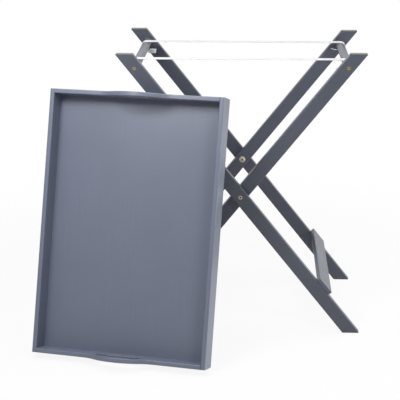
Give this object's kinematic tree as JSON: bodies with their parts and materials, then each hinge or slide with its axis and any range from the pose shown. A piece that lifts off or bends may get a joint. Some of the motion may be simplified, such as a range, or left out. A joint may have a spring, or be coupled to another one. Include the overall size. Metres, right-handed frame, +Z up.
{
  "type": "butler's tray table",
  "caption": "Folding X-stand of painted wood with webbing straps, and a handled rectangular tray that leans against it and lifts off.",
  "frame": {"origin": "on the floor, under the middle of the box round the whole table", "axes": "+Z up, +X to the right seen from the side where the tray leans, +Y to the back, along the pivot axis"},
  "size_m": [0.6644, 0.57, 0.59],
  "materials": {
    "painted_stand_wood": "satin slate-blue paint",
    "painted_tray_wood": "satin slate-blue paint",
    "beech_pins": "bare fluted beech",
    "cotton_webbing": "white herringbone webbing",
    "brass_screws": "bright brass",
    "yellow_zinc_steel": "yellow zinc plate",
    "zinc_plated_steel": "bright zinc plate"
  },
  "bodies": {
    "outer_frame": {"outer_leg_front": "painted_stand_wood", "outer_leg_back": "painted_stand_wood", "outer_top_dowel": "painted_stand_wood", "outer_bottom_rail": "painted_stand_wood", "outer_dowel_screws": "brass_screws", "outer_rail_pins": "beech_pins", "outer_strap_tacks": "zinc_plated_steel", "pivot_bolt_front": "yellow_zinc_steel", "pivot_bolt_back": "yellow_zinc_steel", "pivot_nut_front": "yellow_zinc_steel", "pivot_nut_back": "yellow_zinc_steel", "pivot_head_washers": "zinc_plated_steel", "pivot_spacer_washers": "zinc_plated_steel", "strap_front": "cotton_webbing", "strap_back": "cotton_webbing"},
    "inner_frame": {"inner_leg_front": "painted_stand_wood", "inner_leg_back": "painted_stand_wood", "inner_top_dowel": "painted_stand_wood", "inner_bottom_rail": "painted_stand_wood", "inner_dowel_screws": "brass_screws", "inner_rail_pins": "beech_pins", "inner_strap_tacks": "zinc_plated_steel"},
    "tray": {"tray_base": "painted_tray_wood", "tray_side_left": "painted_tray_wood", "tray_side_right": "painted_tray_wood", "tray_end_bottom": "painted_tray_wood", "tray_end_top": "painted_tray_wood", "tray_corner_pins": "beech_pins"}
  },
  "joints": [
    {"name": "stand_fold", "type": "hinge", "parent": "outer_frame", "child": "inner_frame", "pos_m": [0.08127, 0.11601, 0.295], "axis": [0, -1, 0], "range_deg": [0, 72.5], "deforming": ["strap_front", "strap_back"]},
    {"name": "tray_lift", "type": "slide", "parent": "outer_frame", "child": "tray", "axis": [-0.2006, -0.9356, 0.2907], "range_m": [0, 0.35]}
  ]
}
